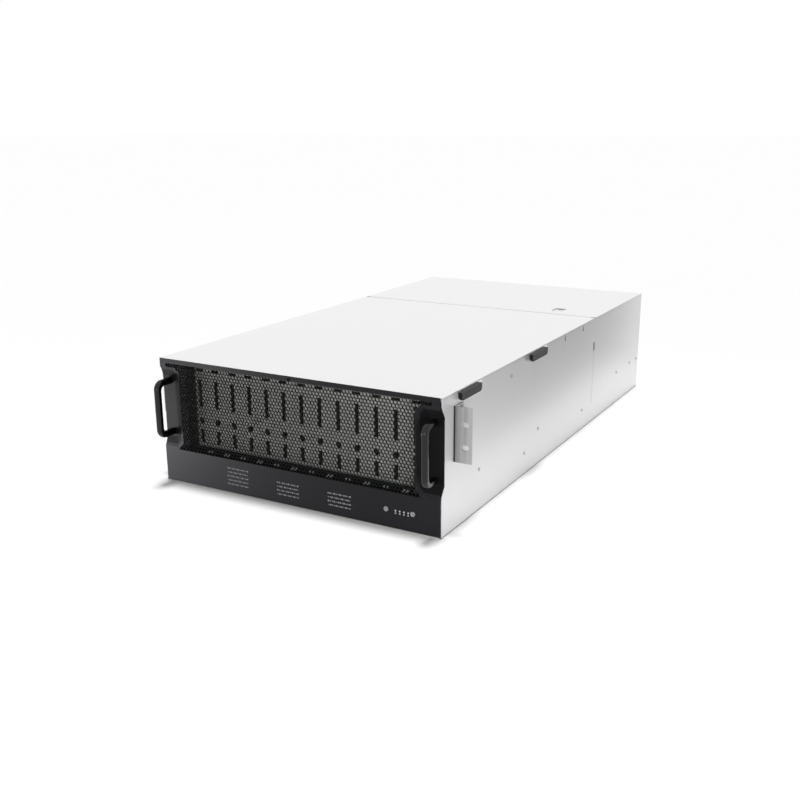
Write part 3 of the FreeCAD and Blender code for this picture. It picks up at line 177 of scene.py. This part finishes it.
# %% The ends of the top row
FIRST_STRIP_HOLE = 192.5 * MM
STRIP_HOLES_EACH_SIDE = 3
strip_holes = FIRST_STRIP_HOLE + HOLE_PITCH * np.arange(STRIP_HOLES_EACH_SIDE)
strip_walls = strip_holes[:-1] + HOLE_PITCH / 2
strip_edges = np.concatenate([field_half_widths[-1:], strip_walls, [sheet_high.x]])
strip_x = np.concatenate([strip_holes, -strip_holes])
strip_z = np.full(len(strip_x), sheet_high.z - TOP_ROW_DROP)
left = np.concatenate([strip_edges[:-1], -strip_edges[1:]])
right = np.concatenate([strip_edges[1:], -strip_edges[:-1]])
low, high = np.full(len(strip_x), strip_foot), np.full(len(strip_x), sheet_high.z)
cell_x = np.stack([strip_x, left, left, strip_x, right, right], axis=1)
cell_z = np.stack([high, high, low, low, low, high], axis=1)
hole_x, hole_z = hexagons(strip_x, strip_z, HOLE_ACROSS_FLATS)
print("holes past the field:", len(strip_x))

# %% [markdown]
# Neighbouring cells share their corners, so equal points are merged and the faces renumbered. The
# sheet is then one surface, and a Solidify modifier gives it its thickness, which also makes the
# walls of all the holes at once.

# %% The punched sheet
MERGE_DIGITS = 7
count = int(punched.sum())
field_points = np.concatenate([flat_points(outer_x, outer_z), flat_points(inner_x, inner_z)])
plain_points = flat_points(plain_x[kept], plain_z[kept])
strip_points = np.concatenate([flat_points(cell_x, cell_z), flat_points(hole_x, hole_z)])
all_points = np.concatenate([field_points, plain_points, strip_points])
plain_faces = np.arange(len(plain_points)).reshape(-1, 6) + len(field_points)
strip_faces = ring_faces(len(strip_x)) + len(field_points) + len(plain_points)
merged, number = np.unique(np.round(all_points, MERGE_DIGITS), axis=0, return_inverse=True)
number = number.ravel()
face_blocks = [number[ring_faces(count)], number[plain_faces], number[strip_faces]]
front_sheet = make_piece("punched_front_sheet", merged, face_blocks, "chassis")
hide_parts("front_mesh")
thickness = front_sheet.modifiers.new("sheet thickness", "SOLIDIFY")
thickness.thickness = SHEET_THICKNESS
thickness.offset = -1.0
print("sheet thickness in millimetres:", round(SHEET_THICKNESS / MM, 2))

# %% [markdown]
# ## Print on the panel
# Three groups of fine light-grey dashes stand on the lower band of the panel, like plans of the
# drive bays, twelve to a row as the bays are, and small marks stand under the indicators. They are
# ink, so they lie on the paint and are only just thicker than nothing. A picture laid on the panel
# would blur from close by, so each dash is a slab of its own, a few hundredths of a millimetre
# thick, and one function gives the corners of many slabs at once.

# %% A tool for slabs
def slab_corners(low, high):
    """Corners and faces of many boxes. Each of the eight corners takes, in each direction, the low
    or the high value, as the three bits of its number say; the six faces are the same for all
    boxes, shifted by eight."""
    bits = (np.arange(8)[:, None] >> np.arange(3)) & 1
    corners = np.where(bits[None], high[:, None, :], low[:, None, :])
    sides = np.array([[0, 4, 6, 2], [1, 3, 7, 5], [0, 1, 5, 4],
                      [2, 6, 7, 3], [0, 2, 3, 1], [4, 5, 7, 6]])
    faces = sides[None] + 8 * np.arange(len(low))[:, None, None]
    return corners.reshape(-1, 3), faces.reshape(-1, 4)


# %% Rows of printed dashes
panel_low, panel_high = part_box("front_panel")
INK = 0.04 * MM
DASH_WIDTH = 2.4 * MM
DASH_HEIGHT = 2.0 * MM
DASHES = 12
GROUP_WIDTH = 32.5 * MM


def dash_rows(left, heights):
    """Low and high corners of rows of dashes: places spread evenly over a group's width, from its
    left end, repeated at each height. Each dash has the full width and height times a share from
    0.5 to 1, which a sine of its number gives."""
    x, z = np.meshgrid(left + np.linspace(0.0, GROUP_WIDTH, DASHES), heights)
    share = 0.75 + 0.25 * np.sin(2.4 * np.arange(x.size))
    middle = np.stack([x.ravel(), np.full(x.size, panel_low.y - INK / 2), z.ravel()], axis=1)
    half = np.stack([DASH_WIDTH * share, np.full(x.size, INK), DASH_HEIGHT * share], axis=1) / 2
    return middle - half, middle + half


groups = [
    dash_rows(left=-106.0 * MM, heights=np.linspace(36.0, 13.5, 5) * MM),
    dash_rows(left=-24.0 * MM, heights=np.linspace(30.0, 14.0, 4) * MM),
    dash_rows(left=56.0 * MM, heights=np.linspace(30.3, 14.3, 4) * MM),
]
ink_low = np.concatenate([group[0] for group in groups])
ink_high = np.concatenate([group[1] for group in groups])
ink_points, ink_faces = slab_corners(ink_low, ink_high)
bay_plan = make_piece("printed_bay_plan", ink_points, [ink_faces], "chassis")

# %% Marks under the indicators
lens_low, lens_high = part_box("indicator_lenses")
LENSES = 4
LENS_WIDTH = 2.2 * MM
MARK_SIZE = 2.0 * MM
MARK_DROP = 4.2 * MM
mark_x = np.linspace(lens_low.x, lens_high.x - LENS_WIDTH, LENSES) + LENS_WIDTH / 2
mark_z = (lens_low.z + lens_high.z) / 2 - MARK_DROP
mark_rest = np.tile([panel_low.y - INK, mark_z], (LENSES, 1))
mark_low = np.column_stack([mark_x - MARK_SIZE / 2, mark_rest])
mark_high = mark_low + np.array([MARK_SIZE, INK, MARK_SIZE])
mark_points, mark_faces = slab_corners(mark_low, mark_high)
marks = make_piece("printed_indicator_marks", mark_points, [mark_faces], "chassis")

# %% [markdown]
# Under the panel a thin pale line runs along the foot of the case. It is taken to be the bare edge
# of the base, where the paint of the panel ends. A line of colour on the panel would be lost from
# the side, so it is one long slab, a fifth of a millimetre proud of the paint.

# %% The bead on the base's front edge
BEAD_HEIGHT = 1.4 * MM
BEAD_PROUD = 0.2 * MM
bead_low = np.array([[panel_low.x, panel_low.y - BEAD_PROUD, 0.0]])
bead_high = np.array([[panel_high.x, panel_low.y, BEAD_HEIGHT]])
bead_points, bead_faces = slab_corners(bead_low, bead_high)
bead = make_piece("base_edge_bead", bead_points, [bead_faces], "chassis")

# %% [markdown]
# A dark line runs along the bend of each ear, where the round of the bend and the flat wall leave a
# narrow groove that little light reaches. That shade is painted: each groove holds a dark slab,
# almost flush with the front face of its ear.

# %% Painted shade in the grooves of the ears
ear_low, ear_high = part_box("rack_ear_right")
GROOVE_WIDTH = 2.2 * MM
GROOVE_DEPTH = 0.9 * MM
GROOVE_PROUD = 0.05 * MM
groove_left = np.array([ear_low.x, -ear_low.x - GROOVE_WIDTH])
groove_front = np.tile([ear_low.y - GROOVE_PROUD, ear_low.z], (2, 1))
groove_back = np.tile([ear_low.y + GROOVE_DEPTH, ear_high.z], (2, 1))
groove_low = np.column_stack([groove_left, groove_front])
groove_high = np.column_stack([groove_left + GROOVE_WIDTH, groove_back])
groove_points, groove_faces = slab_corners(groove_low, groove_high)
# These slabs are painted shade for the grooves at the ears' bends.
ear_groove_shade = make_piece("ear_groove_painted_shade", groove_points, [groove_faces], "chassis")

# %% [markdown]
# ## Finishes
# Each finish starts from what the real material is and how it was made. Colours are written as the
# usual hex values and turned to the linear light that a renderer works in by one function. One
# small function adds a node to a material, with its settings and its links, so a finish reads as a
# short list of what it is made of.

# %% Tools for finishes
def linear(colour):
    """Linear red, green, blue and alpha from an sRGB hex value, by the standard's curve."""
    values = np.array([int(colour[place:place + 2], 16) for place in (1, 3, 5)]) / 255
    light = np.where(values <= 0.04045, values / 12.92, ((values + 0.055) / 1.055) ** 2.4)
    return (*light.tolist(), 1.0)


def add(material, kind, settings=None, links=None):
    """A new node of a kind, with values set on its sockets, by name, and links that come in from
    other nodes' outputs, by name or number."""
    node = material.node_tree.nodes.new(kind)
    for name, value in (settings or {}).items():
        if name in node.inputs:
            node.inputs[name].default_value = value
        else:
            setattr(node, name, value)
    for name, source in (links or {}).items():
        material.node_tree.links.new(source, node.inputs[name])
    return node


def new_finish(name, colour, roughness, metallic=0.0, settings=None):
    """A material with one surface shader, with values set on that shader's sockets, by name."""
    material = bpy.data.materials.new(name)
    material.use_nodes = True
    shader = material.node_tree.nodes["Principled BSDF"]
    shader.inputs["Base Color"].default_value = linear(colour)
    shader.inputs["Roughness"].default_value = roughness
    shader.inputs["Metallic"].default_value = metallic
    for socket, value in (settings or {}).items():
        shader.inputs[socket].default_value = value
    return material


def feed(material, socket, source):
    """Link a node's output to a socket of a finish's surface shader."""
    shader = material.node_tree.nodes["Principled BSDF"]
    material.node_tree.links.new(source, shader.inputs[socket])


def roughen(material, grain_mm, height_mm):
    """A fine unevenness: noise with bumps of a given size and height, in millimetres, on the
    shader's normal."""
    place = add(material, "ShaderNodeTexCoord")
    noise = add(material, "ShaderNodeTexNoise", {"Scale": 1.0 / (grain_mm * MM), "Detail": 2.0},
                {"Vector": place.outputs["Object"]})
    bump = add(material, "ShaderNodeBump", {"Strength": 1.0, "Distance": height_mm * MM},
               {"Height": noise.outputs["Fac"]})
    feed(material, "Normal", bump.outputs["Normal"])


def dress(material, *names):
    """Give CAD pieces or new pieces a finish."""
    for name in names:
        piece = nodes[name] if isinstance(name, str) else name
        piece.data.materials.clear()
        piece.data.materials.append(material)
    print(material.name, "on", len(names))


# %% [markdown]
# ### Black powder coat
# The front is powder-coated: melted plastic powder that sets as an even, slightly pebbled skin. It
# is a dielectric, satin rather than glossy, and pebbles of some seven tenths of a millimetre soften
# its highlights. The punched sheet has the same coat in a darker, flatter grade, which keeps the
# holes easy to see through. The pressed pockets behind the handles have it darker still, as painted
# shade for these recesses. The handles are enamelled and smooth, so they stay deep black and catch
# thin bright lines along their rounded edges. A coat mirrors the white room all round it, so its
# specular level is kept low.

# %% Black powder coat
powder_coat = new_finish("black powder coat", "#2A2A2C", roughness=0.55,
                         settings={"Specular IOR Level": 0.06})
roughen(powder_coat, grain_mm=0.7, height_mm=0.012)
dress(powder_coat, "front_panel")

flat_coat = new_finish("flat black powder coat", "#1A1A1B", roughness=0.55,
                       settings={"Specular IOR Level": 0.12})
dress(flat_coat, front_sheet)

# Darker than the panel's coat: painted shade for the pockets' recesses.
pocket_coat_painted_shade = new_finish("black powder coat, painted pocket shade", "#131314", roughness=0.6,
                       settings={"Specular IOR Level": 0.06})
dress(pocket_coat_painted_shade, "handle_pockets")

gloss_coat = new_finish("smooth black enamel", "#0E0E0F", roughness=0.16,
                        settings={"Specular IOR Level": 0.38})
dress(gloss_coat, "handle_left", "handle_right")

# %% [markdown]
# ### Zinc-coated sheet
# The case is bent from zinc-coated steel with a thin clear skin against finger marks. That gives a
# pale grey which scatters most light and mirrors some of it, softly, so the ear shows faintly in
# the wall beside it. A small share of metal in the shader stands for the zinc under its skin. The
# crystals of the coating show as a faint cloudiness, a few millimetres across, in how rough the
# sheet is. The base is a duller sheet, dipped hot, and it is made darker as painted shade, so that
# its edge draws the thin dark line of shade along the foot of the side. The cage for the drives is
# plainer sheet without the skin.

# %% Zinc-coated sheet
zinc_sheet = new_finish("zinc-coated sheet", "#EAEAEA", roughness=0.3, metallic=0.14,
                        settings={"Specular IOR Level": 0.2})
place = add(zinc_sheet, "ShaderNodeTexCoord")
clouds = add(zinc_sheet, "ShaderNodeTexNoise", {"Scale": 1.0 / (6.0 * MM), "Detail": 3.0},
             {"Vector": place.outputs["Object"]})
spread = add(zinc_sheet, "ShaderNodeMapRange", {"To Min": 0.27, "To Max": 0.36},
             {"Value": clouds.outputs["Fac"]})
feed(zinc_sheet, "Roughness", spread.outputs["Result"])
dress(zinc_sheet, "side_wall_left", "side_wall_right", "top_cover_front", "top_cover_rear",
      "rear_panel", "cover_hinge_front_leaf", "cover_hinge_rear_leaf")

# The base is darkened as painted shade: its edge stands for the dark line at the foot of the side.
base_zinc_painted_shade = new_finish("dull zinc, darkened as painted shade", "#707172", roughness=0.5, metallic=0.3)
dress(base_zinc_painted_shade, "base_pan")

cage_zinc = new_finish("zinc-coated cage sheet", "#DCDCD8", roughness=0.45, metallic=0.2)
dress(cage_zinc, "cage_front_wall", "cage_sides", "row_partitions", "mid_wall", "bay_frame", bead)

# %% [markdown]
# ### Plated steel
# The ears are thicker steel, plated grey. Rolling has left upright streaks in them, in tone and in
# gloss. They are drawn as noise that is stretched along the height, some eight millimetres wide,
# because finer ones would not show at this size. Handle screws, thumbscrews, the pin of the hinge
# and the tongues of the catches are bright zinc, and the screws of the side walls are plated too,
# but duller.

# %% Plated steel
STREAK_WIDTH = 7.7 * MM
STREAK_LENGTH = 330.0 * MM
grey_plate = new_finish("grey plated steel", "#A6A6A6", roughness=0.38, metallic=0.7)
place = add(grey_plate, "ShaderNodeTexCoord")
stretch = add(grey_plate, "ShaderNodeMapping",
              {"Scale": (1 / STREAK_WIDTH, 1 / STREAK_WIDTH, 1 / STREAK_LENGTH)},
              {"Vector": place.outputs["Object"]})
streaks = add(grey_plate, "ShaderNodeTexNoise", {"Scale": 1.0, "Detail": 2.0},
              {"Vector": stretch.outputs["Vector"]})
shade = add(grey_plate, "ShaderNodeMapRange", {"To Min": 0.3, "To Max": 0.5},
            {"Value": streaks.outputs["Fac"]})
feed(grey_plate, "Roughness", shade.outputs["Result"])
tone = add(grey_plate, "ShaderNodeValToRGB", links={"Fac": streaks.outputs["Fac"]})
dark_streak, pale_streak = tone.color_ramp.elements
dark_streak.position, dark_streak.color = 0.3, linear("#909090")
pale_streak.position, pale_streak.color = 0.7, linear("#BCBCBC")
feed(grey_plate, "Base Color", tone.outputs["Color"])
dress(grey_plate, "rack_ear_left", "rack_ear_right")

bright_zinc = new_finish("bright zinc plating", "#D3D4D6", roughness=0.25, metallic=1.0)
dress(bright_zinc, "handle_screws", "cover_hinge_pin", "rear_cover_thumbscrews", "rear_cover_pull",
      "catch_tongue_front_right", "catch_tongue_front_left", "catch_tongue_middle_right",
      "catch_tongue_middle_left")

screw_steel = new_finish("zinc-plated screw steel", "#B9BABB", roughness=0.5, metallic=0.2)
dress(screw_steel, "side_screws")

# %% [markdown]
# ### Plastics, boards and drives
# Grips, fans and connectors are moulded black plastic with a spark-eroded grain, which scatters
# light. Buttons are light-grey plastic. Lenses are clear acrylic that looks pale, with a faint
# painted glow that stands in for the light that gathers in them and leaves at their ends. The
# boards carry a dark solder mask, and the drives are cast aluminium, made darker as painted shade
# for the deep bays seen through the front. Release tabs and levers are the one coloured plastic,
# so that a hand finds them. The grooves beside the ears hold dark slabs of painted shade, and the
# print is pale screen ink.

# %% Plastics
black_plastic = new_finish("grained black ABS", "#111112", roughness=0.5,
                           settings={"Specular IOR Level": 0.3})
roughen(black_plastic, grain_mm=0.6, height_mm=0.01)
dress(black_plastic, "catch_grip_front_right", "catch_grip_front_left", "catch_grip_middle_right",
      "catch_grip_middle_left", "carrier_grips", "fan_frames", "fan_rotor_1", "fan_rotor_2",
      "fan_rotor_3", "drive_connectors")

grey_plastic = new_finish("light grey ABS", "#B4B5B6", roughness=0.4,
                          settings={"IOR": 1.54})
dress(grey_plastic, "power_button", "locate_button")

# A dark finish for the slabs in the ear grooves: painted shade.
groove_shade_paint = new_finish("dark painted groove shade", "#39393A", roughness=0.7,
                    settings={"Specular IOR Level": 0.2})
dress(groove_shade_paint, ear_groove_shade)

ink = new_finish("light grey screen ink", "#CCCDCE", roughness=0.6)
dress(ink, bay_plan, marks)

# The lenses' emission is a painted glow: no lamp is in them.
acrylic_painted_glow = new_finish("clear acrylic with painted glow", "#D8DBDC", roughness=0.3,
                     settings={"IOR": 1.49, "Emission Strength": 0.12})
dress(acrylic_painted_glow, "status_lenses", "indicator_lenses")

release_plastic = new_finish("green release ABS", "#3B7468", roughness=0.4,
                             settings={"IOR": 1.54})
dress(release_plastic, "power_release_lower", "power_release_upper", "canister_lever_lower",
      "canister_lever_upper")

# %% Boards, drives and modules
solder_mask = new_finish("dark solder mask", "#16201C", roughness=0.35,
                         settings={"IOR": 1.5})
dress(solder_mask, "status_board", "control_board", "backplane_boards", "midplane_board")

# The drives are darker than cast aluminium is: painted shade for the deep bays seen through the
# front.
drive_metal_painted_shade = new_finish("cast aluminium, darkened as painted shade", "#2C2D2F", roughness=0.5, metallic=0.6)
dress(drive_metal_painted_shade, "drives_row_1", "drives_row_2", "drives_row_3", "drives_row_4",
      "drives_row_5")

module_zinc = new_finish("zinc-coated module case", "#B9BABC", roughness=0.38, metallic=0.8)
dress(module_zinc, "power_supply_lower", "power_supply_upper", "canister_lower", "canister_upper")

# %% [markdown]
# ## The table and the light
# The photograph has a white table that runs into a white wall, with only a soft shadow close under
# the case. The floor here is plain paint. To the camera, and in mirrors and glass, it is white with
# a little light of its own, so that it reads as white up to the horizon, while the shadow stays. As
# a source of stray light it is a middle grey, as in a room where the table ends soon, or the sides
# of the case would be as bright as its top. The sky is the same: white to the eye, and dimmer as a
# lamp.

# %% The floor
FLOOR_REACH = 30.0
floor_points = [(-FLOOR_REACH, -FLOOR_REACH, 0), (FLOOR_REACH, -FLOOR_REACH, 0),
                (FLOOR_REACH, FLOOR_REACH, 0), (-FLOOR_REACH, FLOOR_REACH, 0)]
floor_mesh = bpy.data.meshes.new("floor")
floor_mesh.from_pydata(floor_points, [], [(0, 1, 2, 3)])
floor = bpy.data.objects.new("floor", floor_mesh)
bpy.context.scene.collection.objects.link(floor)
print("floor, metres across:", 2 * FLOOR_REACH)


# %% Paint that is white to the eye
def seen(owner):
    """One for a ray from the camera, off a mirror or through glass, and nought for stray light: the
    largest of the three marks that a ray carries."""
    path = add(owner, "ShaderNodeLightPath")
    mirrored = add(owner, "ShaderNodeMath", {"operation": "MAXIMUM"},
                   {0: path.outputs["Is Camera Ray"], 1: path.outputs["Is Glossy Ray"]})
    through = add(owner, "ShaderNodeMath", {"operation": "MAXIMUM"},
                  {0: mirrored.outputs[0], 1: path.outputs["Is Transmission Ray"]})
    return through.outputs[0]


white_paint = bpy.data.materials.new("white table paint")
white_paint.use_nodes = True
white_paint.node_tree.nodes.clear()
stray = add(white_paint, "ShaderNodeBsdfDiffuse", {"Color": linear("#646464")})
paint = add(white_paint, "ShaderNodeBsdfDiffuse", {"Color": linear("#F3F3F3")})
glow = add(white_paint, "ShaderNodeEmission", {"Strength": 0.07})
white = add(white_paint, "ShaderNodeAddShader", links={0: paint.outputs[0], 1: glow.outputs[0]})
both = add(white_paint, "ShaderNodeMixShader",
           links={0: seen(white_paint), 1: stray.outputs[0], 2: white.outputs[0]})
add(white_paint, "ShaderNodeOutputMaterial", links={"Surface": both.outputs[0]})
floor_mesh.materials.append(white_paint)
print(white_paint.name, "on the floor")

# %% The sky
SKY_AS_LAMP = 0.08
SKY_TO_THE_EYE = 1.0
world = bpy.data.worlds.new("studio")
bpy.context.scene.world = world
world.use_nodes = True
world.node_tree.nodes.clear()
level = add(world, "ShaderNodeMapRange", {"To Min": SKY_AS_LAMP, "To Max": SKY_TO_THE_EYE},
            {"Value": seen(world)})
background = add(world, "ShaderNodeBackground", {"Color": linear("#FFFFFF")},
                 {"Strength": level.outputs["Result"]})
add(world, "ShaderNodeOutputWorld", links={"Surface": background.outputs[0]})
print("sky strength:", SKY_AS_LAMP, "as a lamp,", SKY_TO_THE_EYE, "to the eye")

# %% [markdown]
# The lamps do the rest. The main one is a soft light from straight above, leaning a little to the
# front, so that the top is the brightest face and a narrow shadow lies before the panel. A broad
# lamp far in front shows the wall behind the perforation. A low strip beside the case lights the
# lower part of its long side, and two small lamps, below the height of the top, light the two ends
# of that side. The light from above and those beside the case are kept out of mirrors, where they
# would burn a white patch into the pale sheet. A low lamp near the front left gives the panel a
# sheen that fades towards the right. It stands so near that it would burn the edges beside the
# panel, so it is linked to the panel, the pockets and the right handle, and lights nothing else.

# %% The light from above
def put_lamp(lamp, place, direction):
    """An object for a lamp, at a place, shining in a direction."""
    holder = bpy.data.objects.new(lamp.name, lamp)
    bpy.context.scene.collection.objects.link(holder)
    holder.location = place
    holder.rotation_euler = Vector(direction).to_track_quat("-Z", "Y").to_euler()
    return holder


main_lamp = bpy.data.lights.new("soft light from above", "SUN")
main_lamp.energy = 2.97
main_lamp.angle = math.radians(11)
above = put_lamp(main_lamp, (0.0, 0.0, 0.0), (0.025, -0.075, -1.0))
above.visible_glossy = False
print(main_lamp.name, "strength:", main_lamp.energy)


# %% The small lamps
def soft_lamp(name, place, aim, size, watts):
    """A rectangular lamp at a place, facing a point."""
    lamp = bpy.data.lights.new(name, "AREA")
    lamp.shape = "RECTANGLE"
    lamp.size, lamp.size_y = size
    lamp.energy = watts
    print(name, "watts:", watts)
    return put_lamp(lamp, place, Vector(aim) - Vector(place))


soft_lamp("broad lamp in front", (0.12, -2.6, 0.3), aim=(0.0, -0.4, 0.1),
          size=(1.2, 0.5), watts=8.0)
side_strip = soft_lamp("low strip beside the case", (0.317, 0.0, 0.017), aim=(0.217, 0.0, 0.017),
                       size=(1.1, 0.03), watts=0.33)
back_lamp = soft_lamp("lamp at the back right", (0.6, 0.8, 0.16), aim=(0.217, 0.42, 0.19),
                      size=(0.2, 0.03), watts=0.26)
right_lamp = soft_lamp("lamp at the front right", (0.6, -0.8, 0.16), aim=(0.217, -0.36, 0.15),
                       size=(0.2, 0.03), watts=0.18)
for end_lamp in (back_lamp, right_lamp):
    end_lamp.data.spread = math.radians(60)
for side_lamp in (side_strip, back_lamp, right_lamp):
    side_lamp.visible_glossy = False

# %% The lamp for the panel
low_lamp = soft_lamp("low lamp near the front left", (-0.4, -0.6, 0.03), aim=(-0.2, -0.404, 0.02),
                     size=(0.1, 0.03), watts=2.2)
front_pieces = bpy.data.collections.new("front pieces")
for name in ("front_panel", "handle_pockets", "handle_right"):
    front_pieces.objects.link(nodes[name])
low_lamp.light_linking.receiver_collection = front_pieces

# %% [markdown]
# ## The camera
# The straight edges of the case in the photograph fix where the camera stood: to the right of the
# case, a good metre in front of it and half a metre up, looking a little down. Its axes come from
# three angles: a turn to the left, a tilt down and a very small roll.

# %% The camera
CAMERA_PLACE = Vector((0.7125, -1.3749, 0.4859))
TURN, TILT, ROLL = (math.radians(angle) for angle in (29.56, 15.93, 0.35))
level_ahead = Vector((-math.sin(TURN), math.cos(TURN), 0))
forward = math.cos(TILT) * level_ahead - math.sin(TILT) * Vector((0, 0, 1))
level_right = Vector((math.cos(TURN), math.sin(TURN), 0))
down = forward.cross(level_right)
right = math.cos(ROLL) * level_right + math.sin(ROLL) * down
up = math.sin(ROLL) * level_right - math.cos(ROLL) * down
lens = bpy.data.cameras.new("camera")
lens.sensor_width = 36.0
lens.lens = 44.1
camera = bpy.data.objects.new("camera", lens)
bpy.context.scene.collection.objects.link(camera)
camera.matrix_world = Matrix((right, up, -forward)).transposed().to_4x4()
camera.location = CAMERA_PLACE
bpy.context.scene.camera = camera
bpy.context.scene.view_settings.view_transform = "Standard"
print("camera at", [round(value, 3) for value in camera.location])
